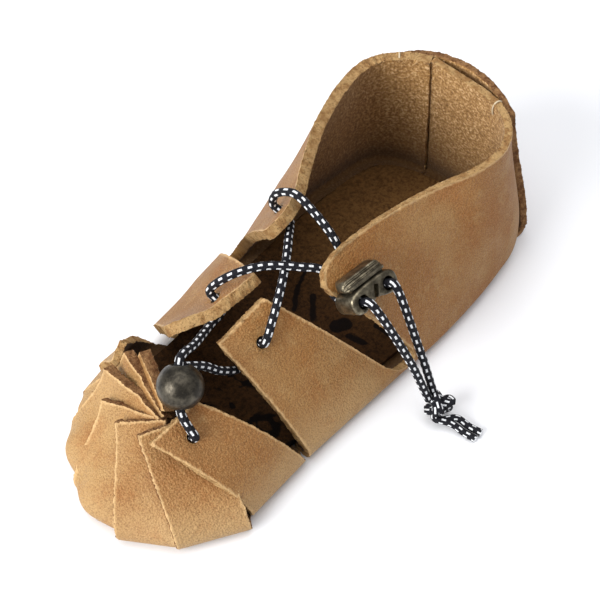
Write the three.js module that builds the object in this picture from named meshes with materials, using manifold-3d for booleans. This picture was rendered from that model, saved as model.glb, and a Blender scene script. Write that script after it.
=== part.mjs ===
// Left child's sandal folded from one hide: a flat sole whose margin turns up into straps.
// Toe fingers are gathered under a bead, two wings cross the instep, two quarters wrap the heel
// and a tab folds up behind them. An elastic cord laces the flaps to a sprung cord lock.
// Millimetres, +Z up, toe towards -Y, outer side of the foot towards +X.
import * as THREE from 'three';
import { mergeVertices } from 'three/addons/utils/BufferGeometryUtils.js';
import Module from 'manifold-3d';

const wasm = await Module();
wasm.setup();

// Driving dimensions
const hide = 2.2; // thickness of the leather
const foldRadius = 4.5; // outer radius of the fold at the foot of each flap
const seamGap = 0.3; // clearance between neighbouring solids
const marginWidth = 4; // flat leather between the fold and the sole piece
const insoleThickness = 1.3;
const cordDiameter = 2.3;
const cordHole = 3.6;
const beadDiameter = 12;
const beadBore = 4.2;

// The flaps, clockwise seen from above, starting behind the heel. Each row is one rib of a flap:
// base is the widest point of its fold in plan, end is the free edge of the grain face,
// rise and pitch are the slopes in degrees at which the leather leaves the fold and arrives.
const flapTable = {
  lateralQuarter: [
    { base: [-2.6, 78.0], end: [-4.0, 76.6, 47.5], rise: 90, pitch: 87 },
    { base: [17.0, 76.4], end: [14.0, 72.8, 47.0], rise: 90, pitch: 86 },
    { base: [26.5, 71.6], end: [22.5, 66.8, 46.5], rise: 90, pitch: 85 },
    { base: [30.6, 64.0], end: [26.2, 58.0, 46.5], rise: 90, pitch: 83 },
    { base: [32.2, 54.0], end: [25.2, 47.0, 46.5], rise: 88, pitch: 78 },
    { base: [33.3, 43.0], end: [20.0, 32.0, 46.5], rise: 84, pitch: 66 },
    { base: [33.8, 31.5], end: [15.6, 13.0, 47.0], rise: 80, pitch: 54 },
    { base: [33.8, 23.0], end: [14.2, -1.5, 47.0], rise: 78, pitch: 46 },
    { base: [33.6, 17.0], end: [14.0, -12.8, 46.3], rise: 76, pitch: 40 },
  ],
  lateralSlotRoot: [
    { base: [33.6, 18.5], end: [33.3, 18.5, 5.4], rise: 86, pitch: 86 },
    { base: [32.9, 7.3], end: [32.6, 7.3, 5.4], rise: 86, pitch: 86 },
  ],
  lateralWing: [
    { base: [33.1, 8.8], end: [6.3, -20.2, 40.0], rise: 58, pitch: 40 },
    { base: [30.9, -30.0], end: [4.4, -36.0, 35.0], rise: 60, pitch: 42 },
  ],
  lateralFrontStrap: [
    { base: [30.9, -30.8], end: [10.0, -50.6, 31.0], rise: 72, pitch: 30 },
    { base: [31.2, -53.0], end: [8.0, -65.5, 26.8], rise: 74, pitch: 28 },
  ],
  toeFinger1: [
    { base: [34.0, -56.6], end: [12.5, -49.0, 27.0], rise: 60, pitch: 46 },
    { base: [23.4, -73.4], end: [2.9, -65.0, 24.8], rise: 66, pitch: 50 },
  ],
  toeFinger2: [
    { base: [23.6, -72.9], end: [5.0, -57.0, 25.0], rise: 64, pitch: 44 },
    { base: [9.9, -81.3], end: [-5.5, -65.3, 22.8], rise: 68, pitch: 58 },
  ],
  toeFinger3: [
    { base: [7.4, -79.8], end: [2.0, -58.0, 24.5], rise: 64, pitch: 42 },
    { base: [-2.5, -81.0], end: [-6.2, -60.2, 23.0], rise: 68, pitch: 55 },
    { base: [-8.8, -78.4], end: [-14.3, -62.3, 21.5], rise: 72, pitch: 64 },
  ],
  toeFinger4: [
    { base: [-10.4, -75.6], end: [3.0, -58.0, 25.0], rise: 66, pitch: 40 },
    { base: [-17.8, -72.4], end: [-8.5, -57.0, 24.5], rise: 76, pitch: 65 },
    { base: [-23.2, -66.0], end: [-20.0, -56.0, 23.5], rise: 85, pitch: 78 },
  ],
  toeFinger5: [
    { base: [-22.8, -63.8], end: [3.0, -57.0, 24.5], rise: 66, pitch: 35 },
    { base: [-29.0, -55.5], end: [-18.6, -50.2, 25.5], rise: 85, pitch: 78 },
  ],
  toeFinger6: [
    { base: [-29.3, -54.8], end: [2.0, -56.0, 25.0], rise: 68, pitch: 30 },
    { base: [-30.6, -46.5], end: [-14.8, -48.2, 27.0], rise: 70, pitch: 75 },
  ],
  medialFrontStrap: [
    { base: [-31.2, -46.2], end: [-20.6, -50.6, 22.0], rise: 86, pitch: 66 },
    { base: [-29.2, -27.0], end: [-22.4, -45.6, 24.2], rise: 88, pitch: 70 },
  ],
  medialWing: [
    { base: [-30.2, -23.5], end: [-10.2, -40.2, 34.8], rise: 60, pitch: 62 },
    { base: [-30.6, -15.0], end: [-5.6, -32.6, 36.8], rise: 64, pitch: 50 },
    { base: [-31.2, -5.0], end: [-1.0, -25.4, 40.6], rise: 71, pitch: 36 },
    { base: [-31.7, 5.0], end: [2.0, -18.7, 42.0], rise: 77, pitch: 28 },
  ],
  medialSlotRoot: [
    { base: [-31.6, 3.5], end: [-31.3, 3.5, 5.4], rise: 86, pitch: 86 },
    { base: [-32.5, 15.0], end: [-32.2, 15.0, 5.4], rise: 86, pitch: 86 },
  ],
  medialQuarter: [
    { base: [-32.4, 13.5], end: [-3.3, -7.7, 47.6], rise: 76, pitch: 38 },
    { base: [-33.0, 20.0], end: [-5.0, 3.5, 48.5], rise: 78, pitch: 44 },
    { base: [-33.5, 30.0], end: [-12.6, 17.5, 48.3], rise: 80, pitch: 54 },
    { base: [-33.2, 43.0], end: [-20.8, 34.0, 47.5], rise: 84, pitch: 66 },
    { base: [-32.0, 54.0], end: [-25.8, 49.5, 46.9], rise: 87, pitch: 78 },
    { base: [-30.6, 64.0], end: [-27.0, 60.0, 46.6], rise: 90, pitch: 83 },
    { base: [-26.5, 71.6], end: [-24.8, 67.0, 46.5], rise: 90, pitch: 85 },
    { base: [-17.0, 76.4], end: [-18.0, 73.2, 47.0], rise: 90, pitch: 86 },
    { base: [-3.4, 78.0], end: [-4.8, 76.6, 47.5], rise: 90, pitch: 87 },
  ],
  heelTab: [
    { base: [-28.0, 74.0], end: [-25.0, 73.0, 45.5], rise: 88, pitch: 88 },
    { base: [-16.0, 80.2], end: [-16.0, 77.4, 47.0], rise: 88, pitch: 88 },
    { base: [0.0, 81.1], end: [-3.0, 79.8, 47.5], rise: 88, pitch: 88 },
    { base: [16.0, 80.2], end: [10.5, 77.4, 47.0], rise: 88, pitch: 88 },
    { base: [28.8, 74.8], end: [19.5, 73.0, 45.5], rise: 88, pitch: 88 },
  ],
};

// How each kind of flap is sampled and cut: ribs across it, the curve of its slanted edges
// and the rounded corner of its free end as shares of its width and length.
const flapCuts = {
  lateralQuarter: { across: 12, sweep: 1.1, corner: { at: 1, width: 0.16, length: 0.17 } },
  medialQuarter: { across: 12, sweep: 1.1, corner: { at: 0, width: 0.16, length: 0.17 } },
  heelTab: { across: 6 },
  lateralWing: { across: 4 },
  medialWing: { across: 5 },
  lateralFrontStrap: { sweep: 1.2 },
  toeFinger3: { across: 4 },
  toeFinger4: { across: 4 },
};
const plainCut = { across: 2, sweep: 1, corner: null };

const ribSteps = 8;
const foldSteps = 4;
const cornerSteps = 5;
const handleShare = 0.36; // how far a rib keeps its end directions, as a share of its length

// Values at a share of the way across a flap: each column runs through the rows as a spline.
function rowAt(rows, share) {
  const column = (pick) => new THREE.CatmullRomCurve3(rows.map(pick), false, 'centripetal');
  const base = column((row) => new THREE.Vector3(...row.base, 0));
  const end = column((row) => new THREE.Vector3(...row.end));
  const place = share * (rows.length - 1);
  const low = Math.min(Math.floor(place), rows.length - 2);
  const between = (name) => THREE.MathUtils.lerp(rows[low][name], rows[low + 1][name], place - low);
  return {
    base: base.getPoint(share),
    along: base.getTangent(share),
    end: end.getPoint(share),
    rise: THREE.MathUtils.degToRad(between('rise')),
    pitch: THREE.MathUtils.degToRad(between('pitch')),
  };
}

// Side view of a rib: x inward from the widest point of the fold, y up.
function ribProfile(row, reach) {
  const turn = Math.PI - row.rise;
  const fold = Array.from({ length: foldSteps }, (_, i) => {
    const angle = (turn * i) / foldSteps;
    return new THREE.Vector2(foldRadius * (1 - Math.sin(angle)), foldRadius * (1 - Math.cos(angle)));
  });
  const start = new THREE.Vector2(foldRadius * (1 - Math.sin(turn)), foldRadius * (1 - Math.cos(turn)));
  const end = new THREE.Vector2(reach, row.end.z);
  const handle = handleShare * start.distanceTo(end);
  const leave = new THREE.Vector2(Math.cos(row.rise), Math.sin(row.rise)).multiplyScalar(handle);
  const arrive = new THREE.Vector2(Math.cos(row.pitch), Math.sin(row.pitch)).multiplyScalar(handle);
  const slope = new THREE.CubicBezierCurve(start, start.clone().add(leave), end.clone().sub(arrive), end);
  return { fold, slope };
}

// One rib of a flap: from the flat margin, round the fold, then up and over to the free edge.
// A slanted rib moves along the fold as it rises, as a strip cut on the slant does.
function ribPoints(row, sweep, shortening) {
  const inward = new THREE.Vector3(row.along.y, -row.along.x, 0);
  const offset = row.end.clone().sub(row.base);
  const slant = offset.dot(row.along);
  const { fold, slope } = ribProfile(row, offset.dot(inward));
  const side = Array.from({ length: ribSteps + 1 }, (_, i) => (
    slope.getPoint((1 - shortening) * (i / ribSteps))));
  const profile = [new THREE.Vector2(foldRadius + marginWidth / 2, 0), ...fold, ...side];
  const fullLength = foldRadius * (Math.PI - row.rise) + slope.getLength();
  let travelled = 0;
  return profile.map((point, i) => {
    travelled += i > 1 ? point.distanceTo(profile[i - 1]) : 0;
    return row.base.clone()
      .addScaledVector(inward, point.x)
      .addScaledVector(row.along, slant * (travelled / fullLength) ** sweep)
      .setZ(point.y);
  });
}

// Grid of grain-face points of a flap, one rib per row, closer together at a rounded corner.
function flapGrid(rows, { across, sweep, corner }) {
  let shares = Array.from({ length: across + 1 }, (_, i) => i / across);
  if (corner) {
    const nearCorner = Array.from({ length: cornerSteps + 1 }, (_, k) => {
      const fromEdge = corner.width * (1 - Math.sin((Math.PI / 2) * (k / cornerSteps)));
      return Math.abs(corner.at - fromEdge);
    });
    shares = shares.filter((share) => Math.abs(share - corner.at) > 1.2 * corner.width)
      .concat(nearCorner)
      .sort((p, q) => p - q);
  }
  const shortening = (share) => {
    const depth = corner ? Math.max(0, 1 - Math.abs(share - corner.at) / corner.width) : 0;
    return depth > 0 ? corner.length * (1 - Math.sqrt(1 - depth * depth)) : 0;
  };
  return shares.map((share) => ribPoints(rowAt(rows, share), sweep, shortening(share)));
}

// Outward directions of a grid, from the two ways its neighbours lie.
function gridNormals(grid) {
  return grid.map((rib, i) => rib.map((_, j) => {
    const along = grid[Math.min(i + 1, grid.length - 1)][j].clone().sub(grid[Math.max(i - 1, 0)][j]);
    const upward = rib[Math.min(j + 1, rib.length - 1)].clone().sub(rib[Math.max(j - 1, 0)]);
    return upward.cross(along).normalize();
  }));
}

// Closed leather sheet: the grain face, the flesh face one thickness behind it and the cut edges.
function sheetGeometry(grid, thickness) {
  const normals = gridNormals(grid);
  const ribs = grid.length;
  const steps = grid[0].length;
  const positions = [];
  grid.forEach((rib) => rib.forEach((point) => positions.push(point.x, point.y, point.z)));
  grid.forEach((rib, i) => rib.forEach((point, j) => {
    const inner = point.clone().addScaledVector(normals[i][j], -thickness);
    positions.push(inner.x, inner.y, inner.z);
  }));
  const outer = (i, j) => i * steps + j;
  const inner = (i, j) => ribs * steps + i * steps + j;
  const index = [];
  const quad = (a, b, c, d) => index.push(a, b, c, a, c, d);
  for (let i = 0; i < ribs - 1; i += 1) {
    for (let j = 0; j < steps - 1; j += 1) {
      quad(outer(i, j), outer(i, j + 1), outer(i + 1, j + 1), outer(i + 1, j));
      quad(inner(i, j), inner(i + 1, j), inner(i + 1, j + 1), inner(i, j + 1));
    }
    quad(outer(i, 0), outer(i + 1, 0), inner(i + 1, 0), inner(i, 0));
    quad(outer(i + 1, steps - 1), outer(i, steps - 1), inner(i, steps - 1), inner(i + 1, steps - 1));
  }
  for (let j = 0; j < steps - 1; j += 1) {
    quad(outer(0, j + 1), outer(0, j), inner(0, j), inner(0, j + 1));
    quad(outer(ribs - 1, j), outer(ribs - 1, j + 1), inner(ribs - 1, j + 1), inner(ribs - 1, j));
  }
  const geometry = new THREE.BufferGeometry();
  geometry.setAttribute('position', new THREE.Float32BufferAttribute(positions, 3));
  geometry.setIndex(index);
  return geometry;
}

// Solids for joining and cutting, and back
function toSolid(geometry) {
  const bare = geometry.clone();
  bare.deleteAttribute('normal');
  bare.deleteAttribute('uv');
  const merged = mergeVertices(bare, 1e-4);
  return new wasm.Manifold(new wasm.Mesh({
    numProp: 3,
    vertProperties: new Float32Array(merged.attributes.position.array),
    triVerts: new Uint32Array(merged.index.array),
  }));
}

function toGeometry(solid) {
  const mesh = solid.getMesh();
  const geometry = new THREE.BufferGeometry();
  geometry.setAttribute('position', new THREE.BufferAttribute(mesh.vertProperties, 3));
  geometry.setIndex(new THREE.BufferAttribute(mesh.triVerts, 1));
  geometry.computeVertexNormals();
  return geometry;
}

// Plan of the sole: a smooth outline through half-widths, drawn in by a given distance.
const soleTable = [
  { y: 78.5, medial: -3, lateral: 3 },
  { y: 76.5, medial: -16, lateral: 16 },
  { y: 71.5, medial: -25, lateral: 25 },
  { y: 62.0, medial: -30.0, lateral: 30.0 },
  { y: 40.0, medial: -32.0, lateral: 33.0 },
  { y: 20.0, medial: -32.0, lateral: 33.5 },
  { y: -5.0, medial: -31.0, lateral: 31.8 },
  { y: -30.0, medial: -29.4, lateral: 30.6 },
  { y: -52.0, medial: -30.8, lateral: 31.2 },
  { y: -63.0, medial: -26.0, lateral: 28.0 },
  { y: -73.5, medial: -17.0, lateral: 21.0 },
  { y: -79.0, medial: -6.0, lateral: 8.5 },
];

function soleOutline(inset) {
  const lateral = soleTable.map((row) => new THREE.Vector2(row.lateral, row.y));
  const medial = soleTable.map((row) => new THREE.Vector2(row.medial, row.y)).reverse();
  const ring = new THREE.CatmullRomCurve3(
    lateral.concat(medial).map((p) => new THREE.Vector3(p.x, p.y, 0)),
    true,
    'centripetal',
  );
  const count = 72;
  return Array.from({ length: count }, (_, i) => {
    const point = ring.getPoint(i / count);
    const along = ring.getTangent(i / count);
    return new THREE.Vector2(point.x + along.y * inset, point.y - along.x * inset);
  });
}

function plate(inset, bottom, height) {
  const geometry = new THREE.ExtrudeGeometry(new THREE.Shape(soleOutline(inset)), {
    depth: height,
    bevelEnabled: false,
  });
  return geometry.translate(0, 0, bottom);
}

const soleInset = foldRadius + marginWidth;

// A point on the grain face of a flap, at a share of its width and of its length, and its normal.
function facePoint(name, width, length) {
  const rows = flapTable[name];
  const { sweep } = { ...plainCut, ...flapCuts[name] };
  const at = (w, l) => ribPoints(rowAt(rows, w), sweep, 1 - l).at(-1);
  const step = 0.02;
  const upward = at(width, length + step).sub(at(width, length - step));
  const along = at(width + step, length).sub(at(width - step, length));
  return { point: at(width, length), normal: upward.cross(along).normalize() };
}

// Cord lock: a sprung button in a body, lying on the lateral quarter over its two cord holes.
const lock = {
  length: 17,
  depth: 7.4,
  bodyHeight: 6,
  buttonHeight: 3.4,
  corner: 3,
  hole: 3.2,
  holeSpacing: 9.6,
  window: { width: 1.8, height: 3, sunk: 1.3 },
  plug: { length: 13.6, depth: 4.4, sunk: 4.2, corner: 2 },
  button: { inset: 0.4, ribs: 4, groove: 0.8, grooveDepth: 0.7 },
};
const lockSeat = facePoint('lateralQuarter', 0.935, 0.78);

function lockFrame() {
  const { point, normal } = lockSeat;
  const along = new THREE.Vector3(0, 1, -0.12).projectOnPlane(normal).normalize();
  const upward = normal.clone().cross(along);
  const centre = point.clone().addScaledVector(normal, seamGap + lock.depth / 2);
  return { along, upward, outward: normal, centre };
}

// Where a cord strand leaves the leather for the lock, on the toe side (-1) or heel side (1).
function lockHole(side) {
  const { along, upward, outward } = lockFrame();
  const point = lockSeat.point.clone()
    .addScaledVector(along, (side * lock.holeSpacing) / 2)
    .addScaledVector(upward, -lock.buttonHeight / 2);
  return { point, normal: outward };
}

// Where the cord passes through the leather
const holes = {
  lateralWing: facePoint('lateralWing', 0.5, 0.79),
  medialWing: facePoint('medialWing', 0.6, 0.9),
  lockFront: lockHole(-1),
  lockRear: lockHole(1),
  medialQuarter: facePoint('medialQuarter', 0.09, 0.86),
  lateralFrontStrap: facePoint('lateralFrontStrap', 0.53, 0.82),
};

function placed(geometry, xAxis, yAxis, zAxis, origin) {
  const place = new THREE.Matrix4().makeBasis(xAxis, yAxis, zAxis).setPosition(origin);
  return geometry.applyMatrix4(place);
}

function holeCutter({ point, normal }) {
  const side = new THREE.Vector3(0, 1, 0).cross(normal).normalize();
  const cutter = new THREE.CylinderGeometry(cordHole / 2, cordHole / 2, 6 * hide, 12);
  return toSolid(placed(cutter, side, normal, side.clone().cross(normal), point));
}

// Upper: every flap grows from the margin round the sole, and is joined to those that it crosses.
function buildUpper() {
  let solid = toSolid(plate(foldRadius + 1, 0, hide));
  Object.entries(flapTable).forEach(([name, rows]) => {
    const grid = flapGrid(rows, { ...plainCut, ...flapCuts[name] });
    solid = solid.add(toSolid(sheetGeometry(grid, hide)));
  });
  Object.values(holes).forEach((hole) => {
    solid = solid.subtract(holeCutter(hole));
  });
  return toGeometry(solid.subtract(toSolid(plate(soleInset - seamGap, -hide, 3 * hide))));
}

// Bead: round, with its bore along the cord, lying on the gathered finger tips.
const beadCentre = new THREE.Vector3(7.1, -52.6, 36.6);
const beadAxis = new THREE.Vector3(-0.4, 0.6, 0.69).normalize();

function buildBead() {
  const radius = beadDiameter / 2;
  const lip = Math.asin(beadBore / beadDiameter);
  const steps = 12;
  const profile = Array.from({ length: steps + 1 }, (_, i) => {
    const angle = lip + (Math.PI - 2 * lip) * (i / steps);
    return new THREE.Vector2(radius * Math.sin(angle), -radius * Math.cos(angle));
  });
  profile.push(profile[0].clone());
  const side = new THREE.Vector3(1, 0, 0).cross(beadAxis).normalize();
  return placed(new THREE.LatheGeometry(profile, 20), side, beadAxis, side.clone().cross(beadAxis), beadCentre);
}

function roundedBar(length, height, depth, corner) {
  const shape = new THREE.Shape();
  const x = length / 2;
  const y = depth / 2;
  shape.moveTo(x - corner, -y);
  shape.absarc(x - corner, -y + corner, corner, -Math.PI / 2, 0);
  shape.absarc(x - corner, y - corner, corner, 0, Math.PI / 2);
  shape.absarc(-x + corner, y - corner, corner, Math.PI / 2, Math.PI);
  shape.absarc(-x + corner, -y + corner, corner, Math.PI, 1.5 * Math.PI);
  const bar = new THREE.ExtrudeGeometry(shape, { depth: height, bevelEnabled: false, curveSegments: 3 });
  return bar.rotateX(-Math.PI / 2);
}

// Solids of the lock in its own frame: x along it, y up from its foot, z away from the leather.
function buildLock() {
  const { plug, button, window } = lock;
  const cordPath = (x) => new THREE.CylinderGeometry(lock.hole / 2, lock.hole / 2, 3 * lock.depth, 12)
    .rotateX(Math.PI / 2)
    .translate(x, lock.bodyHeight / 2, 0);
  const frontWindow = new THREE.BoxGeometry(window.width, window.height, lock.depth)
    .translate(0, lock.bodyHeight / 2, lock.depth - window.sunk);
  const plugFoot = lock.bodyHeight - plug.sunk;
  const well = roundedBar(plug.length + 2 * seamGap, lock.bodyHeight, plug.depth + 2 * seamGap, plug.corner)
    .translate(0, plugFoot - seamGap, 0);
  let body = toSolid(roundedBar(lock.length, lock.bodyHeight, lock.depth, lock.corner))
    .subtract(toSolid(well))
    .subtract(toSolid(frontWindow));
  const stem = roundedBar(plug.length, plug.sunk + 1, plug.depth, plug.corner).translate(0, plugFoot, 0);
  const capSize = [lock.length, lock.buttonHeight - seamGap, lock.depth];
  const cap = roundedBar(
    capSize[0] - 2 * button.inset,
    capSize[1],
    capSize[2] - 2 * button.inset,
    lock.corner - button.inset,
  ).translate(0, lock.bodyHeight + seamGap, 0);
  let plunger = toSolid(stem).add(toSolid(cap));
  for (let i = 0; i < button.ribs; i += 1) {
    const groove = new THREE.BoxGeometry(lock.length, 2 * button.grooveDepth, button.groove);
    const z = ((i + 0.5) / button.ribs - 0.5) * (lock.depth - 2 * button.inset);
    plunger = plunger.subtract(toSolid(groove.translate(0, lock.bodyHeight + lock.buttonHeight, z)));
  }
  [-1, 1].forEach((side) => {
    const path = toSolid(cordPath((side * lock.holeSpacing) / 2));
    body = body.subtract(path);
    plunger = plunger.subtract(path);
  });
  const { along, upward, outward, centre } = lockFrame();
  const foot = centre.clone().addScaledVector(upward, -(lock.bodyHeight + lock.buttonHeight) / 2);
  return [body, plunger].map((solid) => placed(toGeometry(solid), along, upward, outward, foot));
}

// Cord: round tubes along hand-chosen routes, clear of the leather at each hole.
function cordTube(points) {
  const route = new THREE.CatmullRomCurve3(points, false, 'centripetal');
  const section = new THREE.Shape();
  section.absarc(0, 0, cordDiameter / 2, 0, 2 * Math.PI);
  const steps = Math.max(2, Math.round(route.getLength() / (2 * cordDiameter)));
  return new THREE.ExtrudeGeometry(section, { steps, curveSegments: 4, extrudePath: route, bevelEnabled: false });
}

const cordClear = cordDiameter / 2 + 0.6;
const grainSide = ({ point, normal }) => point.clone().addScaledVector(normal, cordClear);
const fleshSide = ({ point, normal }) => point.clone().addScaledVector(normal, -hide - cordClear);
const at = (x, y, z) => new THREE.Vector3(x, y, z);

const knot = { centre: at(48.2, 3, 4.4), radius: 4.2 };

function cordNodes() {
  const onBead = (distance) => beadCentre.clone().addScaledVector(beadAxis, distance);
  const lockMouth = ({ point, normal }, further) => (
    point.clone().addScaledVector(normal, lock.depth + 2 * seamGap + further));
  const front = toSolid(cordTube([
    grainSide(holes.lateralFrontStrap), onBead(-6.5), onBead(0), onBead(6.5), at(2.5, -41, 38.5),
    at(-2, -35, 34.5), fleshSide(holes.medialWing),
  ])).add(toSolid(cordTube([
    onBead(7), at(6, -42, 36.5), at(7, -37.5, 29), at(8.2, -31, 24.5), fleshSide(holes.lateralWing),
  ])));
  const crossing = toSolid(cordTube([
    grainSide(holes.medialWing), at(-3.5, -23, 43.5), at(2, -16, 45.5), at(9, -9, 44.3), at(14, -5.5, 40.5),
    fleshSide(holes.lockFront),
  ])).add(toSolid(cordTube([
    grainSide(holes.lateralWing), at(11.5, -23, 37.5), at(8.5, -16, 42), at(5, -10, 43.6), at(0, -3, 43.2),
    fleshSide(holes.medialQuarter),
  ])));
  const rear = cordTube([
    grainSide(holes.medialQuarter), at(-9.5, 3.5, 49), at(-4.5, 4.6, 51.5), at(2, 4.4, 49.5), at(9, 3.6, 46),
    fleshSide(holes.lockRear),
  ]);
  const ends = [[holes.lockFront, -1], [holes.lockRear, 1]].map(([hole, side]) => cordTube([
    lockMouth(hole, 0),
    lockMouth(hole, 1.5),
    lockMouth(hole, 0).lerp(knot.centre, 0.5).add(at(1, 0, 1)),
    knot.centre.clone().add(at(-3.7, 1.5 * side, 3)),
  ]));
  const ball = new THREE.SphereGeometry(knot.radius, 14, 10).translate(...knot.centre.toArray());
  const tails = [-1, 1].map((side) => cordTube([
    knot.centre.clone().add(at(4.6, 1.4 * side, -2)), at(54, 3 + 1.6 * side, 1.5), at(60, 3.6 + 2 * side, 1.3),
  ]));
  return {
    lace_front: toGeometry(front),
    lace_crossing: toGeometry(crossing),
    lace_rear: rear,
    lace_end_front: ends[0],
    lace_end_rear: ends[1],
    lace_knot: ball,
    lace_tail_front: tails[0],
    lace_tail_rear: tails[1],
  };
}

const leather = { color: 0xbe8c5a, roughness: 0.75, metalness: 0 };
const suede = { color: 0x6e4a2a, roughness: 0.95, metalness: 0 };
const brass = { color: 0x4a4438, roughness: 0.4, metalness: 0.9 };
const cord = { color: 0x17171a, roughness: 0.7, metalness: 0 };
const sandal = new THREE.Group();

function addNode(name, geometry, finish) {
  const mesh = new THREE.Mesh(geometry, new THREE.MeshStandardMaterial(finish));
  mesh.name = name;
  sandal.add(mesh);
}

const [lockBody, lockButton] = buildLock();
addNode('sole', plate(soleInset, 0, hide), leather);
addNode('insole', plate(foldRadius + 1.5, hide + seamGap, insoleThickness), suede);
addNode('upper', buildUpper(), leather);
addNode('bead', buildBead(), brass);
addNode('cord_lock_body', lockBody, brass);
addNode('cord_lock_button', lockButton, brass);
Object.entries(cordNodes()).forEach(([name, geometry]) => addNode(name, geometry, cord));

export default sandal;
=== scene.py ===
import math
import bpy
import numpy as np
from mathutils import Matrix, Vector, kdtree, noise


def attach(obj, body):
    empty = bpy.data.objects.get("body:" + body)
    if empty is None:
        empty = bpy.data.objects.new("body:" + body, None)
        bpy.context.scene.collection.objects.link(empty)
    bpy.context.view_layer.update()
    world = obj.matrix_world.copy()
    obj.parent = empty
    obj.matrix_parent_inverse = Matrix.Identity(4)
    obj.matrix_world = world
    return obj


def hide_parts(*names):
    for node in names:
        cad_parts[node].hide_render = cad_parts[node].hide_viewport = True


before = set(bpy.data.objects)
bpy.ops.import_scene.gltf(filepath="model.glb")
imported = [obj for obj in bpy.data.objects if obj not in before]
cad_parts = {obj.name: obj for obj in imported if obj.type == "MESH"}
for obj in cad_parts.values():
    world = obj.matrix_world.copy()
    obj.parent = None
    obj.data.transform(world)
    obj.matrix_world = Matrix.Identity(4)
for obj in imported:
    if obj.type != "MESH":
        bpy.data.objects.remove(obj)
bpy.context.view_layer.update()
mm = 0.001  # tables below are in millimetres
print("frame loaded")

# Camera, at the photo's angle to the shoe and aimed at its middle
view = {"place": (159.9, -189.1, 315.1), "target": (1.0, 0.5, 16.0), "lens": 84}


def makeCamera():
    bpy.ops.object.camera_add(location=Vector(view["place"]) * mm)
    camera = bpy.context.object
    aim = Vector(view["target"]) - Vector(view["place"])
    camera.rotation_euler = aim.to_track_quat("-Z", "Y").to_euler()
    camera.data.lens = view["lens"]
    camera.data.clip_start = 0.01
    bpy.context.scene.camera = camera


makeCamera()

# The hide: flat in the middle, with flaps that turn up all round
hide = {"thickness": 2.2, "foldRadius": 4.5, "margin": 4.0, "handle": 0.36, "flat": 0.1}
# A flap's ribs: base, free end, and the degrees at which a rib leaves the fold and reaches its end
flapRows = {
    "lateralQuarter": [
        ((-9.5, 77.6), (-10.8, 75.7, 47.4), 90, 87),
        ((17.0, 76.4), (14.0, 72.8, 47.0), 90, 86),
        ((26.5, 71.6), (22.5, 66.8, 46.5), 90, 85),
        ((30.6, 64.0), (26.2, 58.0, 46.5), 90, 83),
        ((32.2, 54.0), (25.2, 47.0, 46.5), 88, 78),
        ((33.3, 43.0), (20.0, 32.0, 46.5), 84, 66),
        ((33.8, 31.5), (15.6, 13.0, 47.0), 80, 54),
        ((33.8, 23.0), (14.2, -1.5, 47.0), 78, 46),
        ((33.6, 17.0), (14.0, -12.8, 46.3), 76, 40),
    ],
    "lateralWing": [
        ((33.1, 8.8), (6.3, -20.2, 40.0), 58, 40),
        ((30.9, -30.0), (4.4, -36.0, 35.0), 60, 42),
    ],
    "lateralFrontStrap": [
        ((30.9, -30.8), (10.0, -50.6, 31.0), 72, 30),
        ((31.2, -53.0), (8.0, -65.5, 26.8), 74, 28),
    ],
    "toeFinger1": [
        ((34.0, -56.6), (12.5, -49.0, 27.0), 60, 46),
        ((23.4, -73.4), (2.9, -65.0, 24.8), 66, 50),
    ],
    "toeFinger2": [
        ((23.6, -72.9), (5.0, -57.0, 25.0), 64, 44),
        ((9.9, -81.3), (-5.5, -65.3, 22.8), 68, 58),
    ],
    "toeFinger3": [
        ((7.4, -79.8), (2.0, -58.0, 24.5), 64, 42),
        ((-2.5, -81.0), (-6.2, -60.2, 23.0), 68, 55),
        ((-8.8, -78.4), (-14.3, -62.3, 21.5), 72, 64),
    ],
    "toeFinger4": [
        ((-10.4, -75.6), (3.0, -58.0, 25.0), 66, 40),
        ((-17.8, -72.4), (-8.5, -57.0, 24.5), 76, 65),
        ((-23.2, -66.0), (-20.0, -56.0, 23.5), 85, 78),
    ],
    "toeFinger5": [
        ((-22.8, -63.8), (3.0, -57.0, 24.5), 66, 35),
        ((-29.0, -55.5), (-18.6, -50.2, 25.5), 85, 78),
    ],
    "toeFinger6": [
        ((-29.3, -54.8), (2.0, -56.0, 25.0), 68, 30),
        ((-30.6, -46.5), (-14.8, -48.2, 27.0), 70, 75),
    ],
    "medialFrontStrap": [
        ((-31.2, -46.2), (-20.6, -50.6, 22.0), 86, 66),
        ((-29.2, -27.0), (-22.4, -45.6, 24.2), 88, 70),
    ],
    "medialWing": [
        ((-30.2, -23.5), (-10.2, -40.2, 34.8), 60, 62),
        ((-30.6, -15.0), (-5.6, -32.6, 36.8), 64, 50),
        ((-31.2, -5.0), (-1.0, -25.4, 40.6), 71, 36),
        ((-31.7, 6.3), (1.0, -17.5, 43.2), 74, 30),
    ],
    "medialQuarter": [
        ((-32.2, 13.5), (-3.3, -7.7, 47.6), 65, 48),
        ((-33.0, 20.0), (-5.0, 3.5, 48.5), 72, 49),
        ((-33.5, 30.0), (-12.6, 17.5, 48.3), 80, 54),
        ((-33.2, 43.0), (-20.8, 34.0, 47.5), 84, 66),
        ((-32.0, 54.0), (-25.8, 49.5, 46.9), 87, 78),
        ((-30.6, 64.0), (-27.0, 60.0, 46.6), 90, 83),
        ((-26.5, 71.6), (-24.8, 67.0, 46.5), 90, 85),
        ((-17.0, 76.4), (-18.0, 73.2, 47.0), 90, 86),
        ((-10.3, 77.55), (-11.6, 75.55, 47.4), 90, 87),
    ],
    "heelTab": [
        ((-28.0, 74.0), (-25.0, 73.0, 43.2), 88, 88),
        ((-16.0, 80.2), (-16.0, 77.4, 46.2), 88, 88),
        ((0.0, 81.1), (-3.0, 79.8, 47.5), 88, 88),
        ((16.0, 80.2), (10.5, 77.4, 47.0), 88, 88),
        ((28.8, 74.8), (19.5, 73.0, 45.5), 88, 88),
    ],
}
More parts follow.
